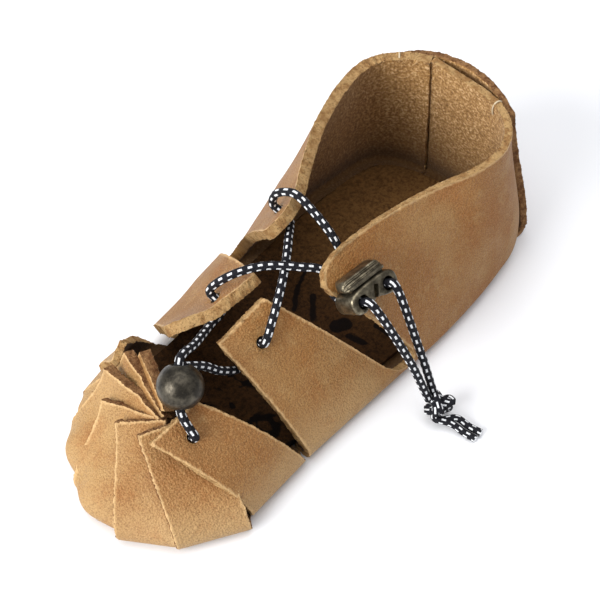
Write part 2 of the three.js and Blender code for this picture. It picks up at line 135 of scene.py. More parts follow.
sweeps = {"lateralQuarter": 1.1, "medialQuarter": 1.1, "lateralFrontStrap": 1.2}
# The end of a flap that has a rounded corner, and the shares of the flap that the rounding takes
lobes = {
    "lateralQuarter": dict(at=1, width=0.16, length=0.17),
    "medialQuarter": dict(at=0, width=0.09, length=0.08),
    "medialWing": dict(at=0, width=0.26, length=0.15),
}
slot = {"bottom": 9.3, "side": 14.0}  # rib lengths at the rounded foot of the slot behind each wing


def unit(vector):
    return vector / np.linalg.norm(vector)


# A smooth line through a few points, at a share of its way
def splinePoint(points, share):
    place = share * (len(points) - 1)
    i = min(int(place), len(points) - 2)
    w = place - i
    p1, p2 = points[i], points[i + 1]
    p0 = points[i - 1] if i > 0 else 2 * p1 - p2
    p3 = points[i + 2] if i + 2 < len(points) else 2 * p2 - p1
    d0, d1, d2 = (math.sqrt(np.linalg.norm(b - a)) for a, b in ((p0, p1), (p1, p2), (p2, p3)))
    t1 = d1 * ((p1 - p0) / d0 - (p2 - p0) / (d0 + d1) + (p2 - p1) / d1)
    t2 = d1 * ((p2 - p1) / d1 - (p3 - p1) / (d1 + d2) + (p3 - p2) / d2)
    return p1 + t1 * w + (3 * (p2 - p1) - 2 * t1 - t2) * w ** 2 + (2 * (p1 - p2) + t1 + t2) * w ** 3


def rowAt(name, share):
    bases, ends, rises, pitches = zip(*flapRows[name])
    bases = [np.array((*base, 0.0)) for base in bases]
    ends = [np.array(end) for end in ends]
    step = 0.0005
    low, high = max(0, share - step), min(1, share + step)
    along = splinePoint(bases, high) - splinePoint(bases, low)
    steps = np.arange(len(bases)) / (len(bases) - 1)
    return {
        "base": splinePoint(bases, share),
        "along": unit(along),
        "end": splinePoint(ends, share),
        "rise": math.radians(np.interp(share, steps, rises)),
        "pitch": math.radians(np.interp(share, steps, pitches)),
        "sweep": sweeps.get(name, 1.0),
    }


foldSteps = 16
slopeSteps = 60


# One rib: the flat margin, the fold, then the slope up to the free edge, and the length along it
def ribLine(row):
    radius = hide["foldRadius"]
    turn = math.pi - row["rise"]
    angles = np.linspace(0, turn, foldSteps + 1)
    fold = np.stack([radius * (1 - np.sin(angles)), radius * (1 - np.cos(angles))], 1)
    inward = np.array((row["along"][1], -row["along"][0], 0.0))
    offset = row["end"] - row["base"]
    end = np.array((offset @ inward, row["end"][2]))
    handle = hide["handle"] * np.linalg.norm(end - fold[-1])
    leave = fold[-1] + handle * np.array((math.cos(row["rise"]), math.sin(row["rise"])))
    arrive = end - handle * np.array((math.cos(row["pitch"]), math.sin(row["pitch"])))
    t = np.linspace(0, 1, slopeSteps + 1)[1:, None]
    back = 1 - t
    slope = back ** 3 * fold[-1] + 3 * t * back ** 2 * leave + 3 * t ** 2 * back * arrive + t ** 3 * end
    profile = np.concatenate([[(radius + hide["margin"] / 2, 0.0)], fold, slope])
    lengths = np.concatenate([[0], np.cumsum(np.linalg.norm(np.diff(profile, axis=0), axis=1))])
    travelled = np.maximum(0, lengths - lengths[1]) / (lengths[-1] - lengths[1])
    slant = (offset @ row["along"]) * travelled ** row["sweep"]
    points = row["base"] + profile[:, :1] * inward + slant[:, None] * row["along"]
    points[:, 2] = profile[:, 1]
    return points, lengths


def ribStops(row, stops):
    points, lengths = ribLine(row)
    return np.stack([np.interp(stops, lengths, points[:, k]) for k in range(3)], 1)


# A point on the grain face of a flap at a share of its width and length, with the way out of it
def facePoint(name, width, length):
    def at(w, l):
        points, _ = ribLine(rowAt(name, w))
        place = 1 + foldSteps + l * slopeSteps
        return np.array([np.interp(place, np.arange(len(points)), points[:, k]) for k in range(3)])

    step = 0.02
    up = at(width, length + step) - at(width, length - step)
    out = np.cross(up, at(width + step, length) - at(width - step, length))
    return at(width, length), unit(out)


# Sheets of leather, each a grid of ribs; a slot leaves its upper points empty
ribCounts = {
    "lateralQuarter": 84, "medialQuarter": 84, "lateralWing": 36, "medialWing": 36, "heelTab": 50,
    "lateralFrontStrap": 24, "medialFrontStrap": 18,
}
slotRibs, fingerRibs = 11, 28
baseSteps, topSteps = 18, 30
cornerAngles = [0, 14, 28, 42, 55, 67, 90]


def flapShares(name):
    shares = np.linspace(0, 1, ribCounts.get(name, fingerRibs) + 1)
    if name in lobes:
        lobe = lobes[name]
        corner = lobe["width"] * (1 - np.sin(np.radians(cornerAngles)))
        shares = shares[np.abs(shares - lobe["at"]) > 1.1 * lobe["width"]]
        shares = np.sort(np.concatenate([shares, np.abs(lobe["at"] - corner)]))
    return shares


def flapColumns(name):
    columns = []
    for share in flapShares(name):
        row = rowAt(name, share)
        _, lengths = ribLine(row)
        full = lengths[-1]
        if name in lobes:
            lobe = lobes[name]
            depth = max(0, 1 - abs(share - lobe["at"]) / lobe["width"])
            full -= lobe["length"] * (full - lengths[1 + foldSteps]) * (1 - math.sqrt(1 - depth ** 2))
        stops = np.concatenate([
            np.linspace(0, slot["side"], baseSteps + 1),
            np.linspace(slot["side"], full, topSteps + 1)[1:],
        ])
        columns.append(ribStops(row, stops))
    return columns


# The foot of the slot between two flaps, rounded like the end of a punched slot
def slotColumns(before, after):
    first, last = rowAt(before, 1), rowAt(after, 0)
    columns = []
    for share in (np.arange(slotRibs) + 1) / (slotRibs + 1):
        row = {key: first[key] + (last[key] - first[key]) * share for key in first}
        row["along"] = unit(row["along"])
        rim = 1 - math.sqrt(1 - (2 * share - 1) ** 2)
        top = slot["bottom"] + (slot["side"] - slot["bottom"]) * rim
        empty = np.full((topSteps, 3), np.nan)
        columns.append(np.concatenate([ribStops(row, np.linspace(0, top, baseSteps + 1)), empty]))
    return columns


# Flaps side by side are cut in one, with a slot between them
def sheetColumns(*flaps):
    columns = flapColumns(flaps[0])
    for before, after in zip(flaps, flaps[1:]):
        columns += slotColumns(before, after) + flapColumns(after)
    return columns


def toEdit():
    bpy.ops.object.mode_set(mode="EDIT")


def toObject():
    bpy.ops.object.mode_set(mode="OBJECT")


def selectMesh(action):
    bpy.ops.mesh.select_all(action=action)


# Turns every face of a finished mesh outward
def closeMesh():
    selectMesh("SELECT")
    bpy.ops.mesh.normals_make_consistent(inside=False)
    toObject()


def deselectAll():
    if bpy.context.object and bpy.context.object.mode == "EDIT":
        toObject()
    bpy.ops.object.select_all(action="DESELECT")


def selectOnly(piece):
    deselectAll()
    bpy.context.view_layer.objects.active = piece
    piece.select_set(True)


def takeNew(name):
    piece = bpy.context.object
    piece.name = piece.data.name = name
    return piece


def addBevel(piece, width, segments, angle):
    bevel = piece.modifiers.new("bevel", "BEVEL")
    bevel.width = width * mm
    bevel.segments = segments
    bevel.limit_method = "ANGLE"
    bevel.angle_limit = math.radians(angle)


def applyModifiers(piece):
    selectOnly(piece)
    for modifier in list(piece.modifiers):
        bpy.ops.object.modifier_apply(modifier=modifier.name)


# Distance of each point of a sheet from its nearest cut edge, for the pale rim of the grain
def edgeDistances(mesh, startRow):
    used = {}
    for polygon in mesh.polygons:
        for key in polygon.edge_keys:
            used[key] = used.get(key, 0) + 1
    rim = {v for key, n in used.items() if n == 1 for v in key} - startRow
    tree = kdtree.KDTree(len(rim))
    for v in rim:
        tree.insert(mesh.vertices[v].co, v)
    tree.balance()
    return [tree.find(v.co)[2] for v in mesh.vertices], rim


# The cord lock, seated on the lateral quarter; its middle is a height over the seat point
lock = {
    "depth": 7.4, "middle": -1.7, "seat": (0.935, 0.78), "lean": -0.12, "gap": 0.3, "holeSpacing": 9.6,
    "hole": 3.9, "slot": (1.6, 3.6, 3.0), "slotPlace": (0.2, 0.4), "slotTilt": -24, "points": 84, "soft": 0.9,
}
seatPoint, seatOut = facePoint("lateralQuarter", *lock["seat"])
lockAlong = np.array((0.0, 1.0, lock["lean"]))
lockAlong = unit(lockAlong - seatOut * (lockAlong @ seatOut))
lockUp = np.cross(seatOut, lockAlong)


def lockHole(side):
    shift = lockAlong * side * lock["holeSpacing"] / 2 + lockUp * lock["middle"]
    return seatPoint + shift, seatOut


# Where the cord goes through the leather: a place on the grain face and the way out of it
cordHoles = {
    "lateralWing": facePoint("lateralWing", 0.56, 0.81),
    "medialWing": facePoint("medialWing", 0.57, 0.89),
    "medialQuarter": facePoint("medialQuarter", 0.105, 0.86),
    "lateralStrap": facePoint("lateralFrontStrap", 0.57, 0.82),
    "lockFront": lockHole(-1),
    "lockRear": lockHole(1),
}
punch = {"diameter": 3.4, "depth": 9.0, "sides": 24}


def combine(piece, tool, operation):
    join = piece.modifiers.new("join", "BOOLEAN")
    join.object = tool
    join.operation = operation
    join.solver = "MANIFOLD"
    join.material_mode = "TRANSFER"
    applyModifiers(piece)
    bpy.data.objects.remove(tool)


def punchHole(piece, point, out, material, diameter=punch["diameter"]):
    deselectAll()
    turn = Vector(out).to_track_quat("Z", "Y").to_euler()
    bpy.ops.mesh.primitive_cylinder_add(
        vertices=punch["sides"], radius=diameter / 2 * mm, depth=punch["depth"] * mm,
        location=Vector(point) * mm, rotation=turn,
    )
    cutter = bpy.context.object
    if material:
        cutter.data.materials.append(material)
    combine(piece, cutter, "DIFFERENCE")


# Soft unevenness, ragged cut and fibre tufts of the hide, mm, and the heights where they come in
wave = {
    "size": 22.0, "height": 0.35, "ragSize": 1.6, "rag": 0.16, "tuftSize": 0.6, "tuft": 0.3,
    "fullAt": 8.0, "sinkFrom": 6.0, "sinkOver": 9.0, "tuftFrom": 2.0, "soft": 0.35, "seed": 11,
}
noise.seed_set(wave["seed"])  # unseeded, noise_vector follows the clock
fleshSlot, rimSlot = 1, 2  # places in a sheet's list of materials, after the grain

# Main creases: flap, start and end in shares of its width and length, width and depth, a ridge negative
creases = [
    ("toeFinger3", (0.40, 0.82), (0.30, 1.00), 1.0, -0.6),
    ("toeFinger3", (0.70, 0.74), (0.60, 1.00), 1.4, 0.6),
    ("toeFinger4", (0.55, 0.50), (0.40, 1.00), 1.6, 0.7),
    ("toeFinger5", (0.70, 0.50), (0.60, 1.00), 1.4, 0.5),
    ("toeFinger3", (0.95, 0.50), (0.95, 0.08), 5.5, 1.6),
    ("toeFinger3", (0.30, 0.45), (0.30, 0.08), 4.0, -0.6),
    ("toeFinger4", (0.50, 0.45), (0.50, 0.08), 4.5, -1.1),
    ("toeFinger5", (0.50, 0.45), (0.50, 0.08), 3.5, -1.3),
    ("lateralQuarter", (0.70, 0.30), (0.80, 0.70), 7.0, 0.7),
    ("lateralQuarter", (0.48, 0.25), (0.52, 0.80), 6.0, -0.5),
    ("lateralQuarter", (0.26, 0.15), (0.28, 0.85), 5.0, 0.4),
    ("lateralWing", (0.30, 0.30), (0.55, 0.62), 6.0, 0.6),
    ("lateralWing", (0.80, 0.35), (0.75, 0.85), 5.0, -0.4),
    ("medialWing", (0.50, 0.45), (0.45, 0.98), 3.5, 0.7),
    ("lateralFrontStrap", (0.20, 0.40), (0.70, 0.62), 5.0, 0.5),
]
creaseStart = 0.35  # the share of its depth that a crease starts with
dimple = {"width": 2.3, "depth": 0.5}


# How far points of a sheet are pressed in by the creases and by the pull of the cord at the holes
def pressAt(points, flaps, holes):
    depth = np.zeros(len(points))
    for flap, startShares, endShares, width, press in creases:
        if flap in flaps:
            start, _ = facePoint(flap, *startShares)
            end, _ = facePoint(flap, *endShares)
            along = end - start
            share = np.clip((points - start) @ along / (along @ along), 0, 1)
            gap = np.linalg.norm(points - start - share[:, None] * along, axis=1)
            depth += press * np.exp(-(gap / width) ** 2) * (creaseStart + (1 - creaseStart) * share)
    for hole in holes:
        gap = np.linalg.norm(points - cordHoles[hole][0], axis=1)
        depth += dimple["depth"] * np.exp(-(gap / dimple["width"]) ** 2)
    return depth


# Tufts of fibre on the cut edge
def tuftRim(piece):
    selectOnly(piece)
    toEdit()
    selectMesh("DESELECT")
    toObject()
    piece.data.polygons.foreach_set("select", [p.material_index == rimSlot for p in piece.data.polygons])
    toEdit()
    bpy.ops.mesh.select_mode(type="FACE")
    bpy.ops.mesh.subdivide(number_cuts=2)
    bpy.ops.mesh.select_mode(type="VERT")
    toObject()
    for v in piece.data.vertices:
        if v.select and v.co.z > wave["tuftFrom"] * mm:
            v.co += noise.noise_vector(v.co / (wave["tuftSize"] * mm)) * wave["tuft"] * mm


# Materials: one node graph each
class Graph:
    def __init__(self, name):
        self.material = bpy.data.materials.new(name)
        self.material.use_nodes = True
        self.tree = self.material.node_tree
        self.tree.nodes.clear()
        self.shader = self.node("ShaderNodeBsdfPrincipled")
        output = self.node("ShaderNodeOutputMaterial")
        self.link(self.shader.outputs[0], output.inputs[0])
        self.coords = self.node("ShaderNodeTexCoord").outputs["Object"]

    def node(self, kind, sockets=(), **settings):
        node = self.tree.nodes.new(kind)
        for key, value in settings.items():
            setattr(node, key, value)
        for key, value in dict(sockets).items():
            self.feed(node.inputs[key], value)
        return node

    def link(self, source, target):
        self.tree.links.new(source, target)

    def feed(self, socket, value):
        if hasattr(value, "is_output"):
            self.link(value, socket)
        else:
            socket.default_value = value

    def set(self, name, value):
        self.feed(self.shader.inputs[name], value)

    def noise(self, scale, detail=3.0, rough=0.55):
        sockets = {"Vector": self.coords, "Scale": scale, "Detail": detail, "Roughness": rough}
        return self.node("ShaderNodeTexNoise", sockets).outputs["Fac"]

    def cells(self, scale, coords=None, randomness=1.0):
        sockets = {"Vector": coords or self.coords, "Scale": scale, "Randomness": randomness}
        return self.node("ShaderNodeTexVoronoi", sockets).outputs["Distance"]

    def math(self, operation, a, b=0.0, clamp=False):
        return self.node("ShaderNodeMath", {0: a, 1: b}, operation=operation, use_clamp=clamp).outputs[0]

    def times(self, a, b):
        return self.math("MULTIPLY", a, b)

    def vector(self, operation, *values):
        return self.node("ShaderNodeVectorMath", enumerate(values), operation=operation)

    def axes(self, vector):
        return dict(zip("xyz", self.node("ShaderNodeSeparateXYZ", {0: vector}).outputs))

    def ramp(self, value, low, high, start=0.0, end=1.0):
        sockets = {"Value": value, "From Min": low, "From Max": high, "To Min": start, "To Max": end}
        return self.node("ShaderNodeMapRange", sockets, interpolation_type="SMOOTHSTEP").outputs["Result"]

    # A ramp between two places in millimetres
    def band(self, value, limits, start=0.0, end=1.0):
        return self.ramp(value, limits[0] * mm, limits[1] * mm, start, end)

    def mix(self, share, a, b):
        node = self.node("ShaderNodeMix", data_type="RGBA")
        colours = [socket for socket in node.inputs if socket.type == "RGBA"]
        self.feed(node.inputs[0], share)
        self.feed(colours[0], (*a, 1.0) if isinstance(a, tuple) else a)
        self.feed(colours[1], (*b, 1.0) if isinstance(b, tuple) else b)
        return [socket for socket in node.outputs if socket.type == "RGBA"][0]

    # One more tone over the colour so far
    def lay(self, share, tone):
        self.colour = self.mix(share, self.colour, tone)

    def attribute(self, name):
        return self.node("ShaderNodeAttribute", attribute_name=name).outputs["Fac"]

    def bump(self, height, strength, distance, normal=None):
        sockets = {"Height": height, "Strength": strength, "Distance": distance}
        if normal is not None:
            sockets["Normal"] = normal
        return self.node("ShaderNodeBump", sockets).outputs["Normal"]

    def finish(self, rough, shine=0.5):
        self.set("Base Color", self.colour)
        self.set("Roughness", rough)
        self.set("Specular IOR Level", shine)


# Tones of the grain side, with the places in mm between which each comes in
grain = {
    "honey": (0.285, 0.120, 0.026), "straw": (0.41, 0.25, 0.098), "russet": (0.275, 0.088, 0.013),
    "pore": (0.10, 0.042, 0.011), "rim": (0.60, 0.39, 0.18), "rimWidth": (0.1, 1.0), "rag": 1.4,
    "toe": (-26.0, -52.0), "toeSlant": 0.6,
    "rubbed": (4.0, 17.0), "ahead": (10.0, -12.0), "bare": (0.50, 0.335, 0.16),
    "strapUpper": (9.0, 17.0), "strap": (-27.0, -39.0), "outer": (2.0, 10.0), "darkerStrapTone": (0.215, 0.076, 0.012),
    "inner": (-2.0, -10.0), "medialShade": (0.135, 0.082, 0.028),
}


def grainLeather():
    g = Graph("hideGrain")
    place = g.axes(g.coords)
    clouds = g.noise(38, 3, 0.5)
    patches = g.noise(62, 5, 0.6)
    mottle = g.noise(190, 4, 0.65)
    speckle = g.noise(2700, 2, 0.65)
    pores = g.cells(1500)
    # The toe, most of all on its medial side, turns to the paler straw tone: partly the leather's own paler
    # toe, partly painted light where it faces the lamp
    slant = g.math("ADD", place["x"], g.times(place["y"], grain["toeSlant"]))
    toe = g.band(slant, grain["toe"], 0.0, 0.85)
    pale = g.math("MAXIMUM", toe, g.ramp(clouds, 0.4, 0.66, 0.0, 0.4))
    g.colour = g.mix(pale, grain["honey"], grain["straw"])
    g.lay(g.ramp(patches, 0.47, 0.72, 0.0, 0.6), grain["russet"])
    front = g.times(g.band(place["y"], grain["ahead"]), g.math("SUBTRACT", 1.0, toe))
    g.lay(g.times(g.band(place["z"], grain["rubbed"], 0.62, 0.0), front), grain["bare"])
    # The front strap darker towards its top
    strap = g.times(g.band(place["y"], grain["strap"]), g.band(place["x"], grain["outer"]))
    g.lay(g.times(g.band(place["z"], grain["strapUpper"], 0.0, 0.5), strap), grain["darkerStrapTone"])
    # Painted shade on the medial side behind the toe
    back = g.band(place["y"], grain["toe"][::-1])
    g.lay(g.times(g.band(place["x"], grain["inner"], 0.0, 0.3), back), grain["medialShade"])
    g.lay(g.ramp(mottle, 0.5, 0.72, 0.0, 0.3), grain["russet"])
    g.lay(g.ramp(mottle, 0.48, 0.28, 0.0, 0.4), grain["straw"])
    g.lay(g.ramp(speckle, 0.46, 0.64, 0.0, 0.42), grain["pore"])
    g.lay(g.ramp(speckle, 0.5, 0.34, 0.0, 0.45), grain["straw"])
    stray = g.times(g.math("SUBTRACT", g.noise(900, 3), 0.5), grain["rag"] * mm)
    ragged = g.math("ADD", g.attribute("edgeDistance"), stray)
    g.lay(g.band(ragged, grain["rimWidth"], 0.75, 0.0), grain["rim"])
    g.finish(g.ramp(patches, 0.3, 0.7, 0.52, 0.68), 0.3)
    wrinkles = g.bump(g.noise(420, 4, 0.6), 0.3, 0.0006)
    skin = g.math("ADD", pores, g.times(speckle, 0.8))
    g.set("Normal", g.bump(skin, 0.5, 0.0005, wrinkles))
    return g.material


# Tones of the flesh side, with painted shade towards the toe and towards the floor
suede = {
    "deep": (0.19, 0.086, 0.020), "mid": (0.50, 0.275, 0.090), "light": (0.73, 0.505, 0.27),
    "strapShadow": (0.035, 0.014, 0.005), "paintedShade": (22.0, -22.0), "lowShade": (0.15, 0.070, 0.018),
    "low": (3.0, 26.0), "shade": (0.055, 0.025, 0.008), "corner": (4.0, 12.0),
}


def fleshSuede():
    g = Graph("hideFlesh")
    place = g.axes(g.coords)
    nap = g.noise(1250, 4, 0.7)
    clouds = g.noise(70, 4, 0.6)
    g.colour = g.mix(g.ramp(nap, 0.3, 0.66), suede["deep"], suede["mid"])
    tips = g.times(g.ramp(nap, 0.51, 0.66), g.ramp(clouds, 0.3, 0.7, 0.4, 1.0))
    g.lay(tips, suede["light"])
    # Painted shade: darker towards the toe where the straps shade the inside, and towards the floor and the
    # bottom corner
    g.lay(g.band(place["y"], suede["paintedShade"], 0.0, 0.85), suede["strapShadow"])
    g.lay(g.band(place["z"], suede["low"], 0.65, 0.0), suede["lowShade"])
    g.lay(g.band(place["z"], suede["corner"], 0.65, 0.0), suede["shade"])
    g.finish(0.95, 0.15)
    g.set("Sheen Weight", 0.1)
    g.set("Sheen Roughness", 0.6)
    g.set("Normal", g.bump(nap, 0.7, 0.0008))
    return g.material


sideFibre = {"pale": (0.56, 0.35, 0.15), "tan": (0.36, 0.19, 0.07), "speck": (0.09, 0.04, 0.015)}
# toeFibre: the darker cut edge of the toe fingers and the heel tab, partly the fibre's own brown and partly
# painted shade on these edges
toeFibre = {"pale": (0.36, 0.19, 0.08), "tan": (0.17, 0.072, 0.028), "speck": (0.045, 0.018, 0.008)}
slotFoot = {"x": (-10.0, -16.0), "y": (-22.0, -12.0), "z": (27.0, 19.0)}  # where the cut edge is darkened as painted shade


def fibreEdge(name, fibre):
    g = Graph(name)
    place = g.axes(g.coords)
    tufts = g.noise(1700, 4, 0.75)
    g.colour = g.mix(g.ramp(g.noise(420, 3), 0.4, 0.65), fibre["pale"], fibre["tan"])
    g.lay(g.ramp(tufts, 0.5, 0.68, 0.0, 0.75), fibre["speck"])
    g.lay(g.ramp(tufts, 0.42, 0.3, 0.0, 0.7), sideFibre["pale"])
    # Painted shade on the cut edge at the foot of the medial slot
    paintedShade = 0.85
    for axis, limits in slotFoot.items():
        paintedShade = g.times(g.band(place[axis], limits), paintedShade)
    g.lay(paintedShade, suede["lowShade"])
    g.finish(0.92, 0.15)
    g.set("Normal", g.bump(tufts, 1.0, 0.001))
    return g.material


hideMaterials = [grainLeather(), fleshSuede(), fibreEdge("hideCutEdge", sideFibre)]
toeMaterials = [*hideMaterials[:2], fibreEdge("toeCutEdge", toeFibre)]
print("materials made")


# One sheet: a grid of ribs, pressed and waved, then thickened, tufted and punched
def leatherSheet(name, flaps, materials=hideMaterials, holes=(), thickness=hide["thickness"], sink=0.0):
    deselectAll()
    grid = np.stack(sheetColumns(*flaps), 1) * mm
    steps, count = grid.shape[:2]
    bpy.ops.mesh.primitive_grid_add(x_subdivisions=count - 1, y_subdivisions=steps - 1)
    piece = takeNew(name)
    flat = grid.reshape(-1, 3)
    empty = np.isnan(flat[:, 0])
    piece.data.vertices.foreach_set("co", np.where(empty[:, None], 0, flat).ravel())
    toEdit()
    bpy.ops.mesh.flip_normals()
    selectMesh("DESELECT")
    toObject()
    piece.data.vertices.foreach_set("select", empty)
    toEdit()
    bpy.ops.mesh.delete(type="VERT")
    toObject()
    mesh = piece.data
    distances, rim = edgeDistances(mesh, {v.index for v in mesh.vertices if v.co.z < hide["flat"] * mm})
    normals = [v.normal.copy() for v in mesh.vertices]
    pressed = pressAt(np.array([v.co for v in mesh.vertices]) / mm, flaps, holes)
    for v, normal, press in zip(mesh.vertices, normals, pressed):
        height = v.co.z / mm
        lift = min(1, height / wave["fullAt"])
        bulge = noise.noise(v.co / (wave["size"] * mm)) * wave["height"]
        under = sink * min(1, max(0, (height - wave["sinkFrom"]) / wave["sinkOver"]))
        v.co += normal * (bulge - under - press) * mm * lift
        if v.index in rim:
            v.co += noise.noise_vector(v.co / (wave["ragSize"] * mm)) * wave["rag"] * mm
    attribute = mesh.attributes.new("edgeDistance", "FLOAT", "POINT")
    attribute.data.foreach_set("value", distances)
    for material in materials:
        mesh.materials.append(material)
    wall = piece.modifiers.new("wall", "SOLIDIFY")
    wall.thickness = thickness * mm
    wall.offset = -1
    wall.material_offset = fleshSlot
    wall.material_offset_rim = rimSlot
    addBevel(piece, wave["soft"], segments=2, angle=50)
    applyModifiers(piece)
    tuftRim(piece)
    for hole in holes:
        punchHole(piece, *cordHoles[hole], materials[rimSlot])
    bpy.ops.object.shade_smooth_by_angle(angle=math.radians(60))
    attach(piece, "root")
    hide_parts("upper")


sheets = {
    "upper_lateral_side": dict(
        flaps=("lateralQuarter", "lateralWing"), holes=("lateralWing", "lockFront", "lockRear"),
    ),
    "upper_medial_side": dict(
        flaps=("medialWing", "medialQuarter"), holes=("medialWing", "medialQuarter"), thickness=3.2,
    ),
    "upper_heel_tab": dict(flaps=("heelTab",), materials=toeMaterials),
    "upper_lateral_strap": dict(flaps=("lateralFrontStrap",), holes=("lateralStrap",), thickness=2.9),
    "upper_medial_strap": dict(flaps=("medialFrontStrap",)),
}
# Thickness and sink of the fingers: each lies a little deeper than the one over it
fingers = [(2.4, 0.6), (2.4, 1.1), (2.6, 1.55), (3.0, 1.7), (3.0, 1.75), (3.0, 1.8)]
for number, (thickness, sink) in enumerate(fingers, 1):
    sheets[f"upper_toe_finger_{number}"] = dict(
        flaps=(f"toeFinger{number}",), materials=toeMaterials, thickness=thickness, sink=sink,
    )
for name, sheet in sheets.items():
    leatherSheet(name, **sheet)
print("leather sheets made")

# Footbed: spotted suede laid on the flat middle of the hide
footbed = {
    "inset": 6.0, "top": 3.8, "thickness": 1.3, "soft": 0.3, "spottedX": (-4.0, -1.0), "spottedY": (0.0, 5.0),
    "wander": 140, "printReach": 6.0, "markReach": 3.0, "markSoft": 0.3, "markInk": 0.92, "printInk": 0.94,
    # tan and dark: the footbed's front tones, darkened as painted shade under the straps; the heel seat tones
    # are lighter
    "tan": (0.062, 0.027, 0.009), "dark": (0.022, 0.010, 0.004), "spot": (0.004, 0.003, 0.003),
    "heelSeat": (44.0, 4.0), "seatDeep": (0.068, 0.032, 0.010), "seatMid": (0.17, 0.086, 0.028),
    # start, end and width of the larger marks
    "marks": [
        ((-9.4, 18.7), (-8.0, 13.7), 1.3), ((-8.0, 13.7), (-3.0, 5.6), 1.6), ((-2.0, 13.8), (3.7, 7.0), 1.9),
        ((10.2, 9.0), (11.6, 11.0), 4.0), ((15.0, 8.5), (19.5, 9.2), 2.0), ((18.8, 16.5), (22.5, 16.3), 2.2),
    ],
    # y, medial edge and lateral edge of the flat middle
    "rows": [
        (78.5, -3.0, 3.0), (76.5, -16.0, 16.0), (71.5, -25.0, 25.0), (62.0, -30.0, 30.0), (40.0, -32.0, 33.0),
        (20.0, -32.0, 33.5), (-5.0, -31.0, 31.8), (-30.0, -29.4, 30.6), (-52.0, -30.8, 31.2),
        (-63.0, -26.0, 28.0), (-73.5, -17.0, 21.0), (-79.0, -6.0, 8.5),
    ],
}


# A printed stroke with round ends
def stroke(g, coords, start, end, width):
    start, end = (Vector((*point, footbed["top"])) * mm for point in (start, end))
    along = end - start
    offset = g.vector("SUBTRACT", coords, start).outputs[0]
    share = g.vector("DOT_PRODUCT", offset, along / along.length_squared).outputs["Value"]
    nearest = g.vector("SCALE", along)
    g.link(g.math("ADD", share, 0.0, clamp=True), nearest.inputs["Scale"])
    gap = g.vector("DISTANCE", offset, nearest.outputs[0])
    fade = (width / 2 + footbed["markSoft"], width / 2 - footbed["markSoft"])
    return g.band(gap.outputs["Value"], fade, 0.0, footbed["markInk"])


def spottedSuede():
    g = Graph("footbedSuede")
    nap = g.noise(950, 4, 0.75)
    seat = g.mix(g.ramp(nap, 0.3, 0.66), footbed["seatDeep"], footbed["seatMid"])
    front = g.mix(g.ramp(nap, 0.34, 0.62), footbed["dark"], footbed["tan"])
    # Painted shade: the footbed darkens from the heel seat towards the front
    g.colour = g.mix(g.band(g.axes(g.coords)["y"], footbed["heelSeat"]), seat, front)
    wander = g.node("ShaderNodeTexNoise", {"Vector": g.coords, "Scale": footbed["wander"]})

    def strayed(reach):
        reaches = (reach * mm, reach * mm, 0.0)
        return g.vector("MULTIPLY_ADD", wander.outputs["Color"], reaches, g.coords).outputs[0]

    printed, ragged = strayed(footbed["printReach"]), strayed(footbed["markReach"])
    ring = g.cells(85, printed, 0.85)
    blotch = g.times(g.ramp(ring, 0.18, 0.24), g.ramp(ring, 0.46, 0.40))
    broken = g.ramp(g.noise(210, 2, 0.5), 0.42, 0.47)
    dots = g.times(g.ramp(g.cells(190, printed), 0.22, 0.17), g.ramp(ring, 0.5, 0.56))
    spots = g.math("MAXIMUM", g.times(blotch, broken), dots)
    place = g.axes(printed)
    ahead = g.band(place["y"], footbed["spottedY"], footbed["printInk"], 0.0)
    spotted = g.times(ahead, g.band(place["x"], footbed["spottedX"]))
    shown = g.times(spots, spotted)
    for mark in footbed["marks"]:
        shown = g.math("MAXIMUM", shown, stroke(g, ragged, *mark))
    g.lay(shown, footbed["spot"])
    g.finish(0.95, 0.12)
    g.set("Normal", g.bump(nap, 0.6, 0.0006))
    return g.material


# A smooth closed outline through a few points
def closedOutline(points, count):
    ring = [np.array(p) for p in points]
    ring = [ring[-1]] + ring + ring[:2]
    spans = len(ring) - 3
    return np.array([splinePoint(ring, (1 + spans * k / count) / (len(ring) - 1)) for k in range(count)])


def makeFootbed():
    count, across, lengthwise = 160, 24, 110
    rows = footbed["rows"]
    edge = [(lateral, y) for y, _, lateral in rows] + [(medial, y) for y, medial, _ in reversed(rows)]
    points = closedOutline(edge, count)
    ahead = np.roll(points, -1, 0) - np.roll(points, 1, 0)
    ahead /= np.linalg.norm(ahead, axis=1)[:, None]
    points = points + footbed["inset"] * np.stack([ahead[:, 1], -ahead[:, 0]], 1)
    low, high = points[:, 1].argmin(), points[:, 1].argmax()
    turned = np.roll(points, -high, 0)
    split = (low - high) % count
    lateral = turned[: split + 1][::-1]
    medial = np.concatenate([turned[split:], turned[:1]])
    eased = (1 - np.cos(np.linspace(0, math.pi, lengthwise + 1))) / 2
    ys = points[low, 1] + (points[high, 1] - points[low, 1]) * eased
    left = np.interp(ys, medial[:, 1], medial[:, 0])
    right = np.interp(ys, lateral[:, 1], lateral[:, 0])
    deselectAll()
    bpy.ops.mesh.primitive_grid_add(x_subdivisions=across, y_subdivisions=lengthwise)
    piece = takeNew("insole_footbed")
    xs = left[:, None] + (right - left)[:, None] * np.linspace(0, 1, across + 1)
    grid = np.stack([xs, np.repeat(ys[:, None], across + 1, 1), np.full_like(xs, footbed["top"])], 2)
    piece.data.vertices.foreach_set("co", (grid * mm).ravel())
    toEdit()
    bpy.ops.mesh.remove_doubles(threshold=0.01 * mm)
    toObject()
    wall = piece.modifiers.new("wall", "SOLIDIFY")
    wall.thickness = footbed["thickness"] * mm
    wall.offset = -1
    addBevel(piece, footbed["soft"], segments=2, angle=30)
    applyModifiers(piece)
    bpy.ops.object.shade_smooth_by_angle(angle=math.radians(50))
    piece.data.materials.append(spottedSuede())
    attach(piece, "root")
    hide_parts("insole")


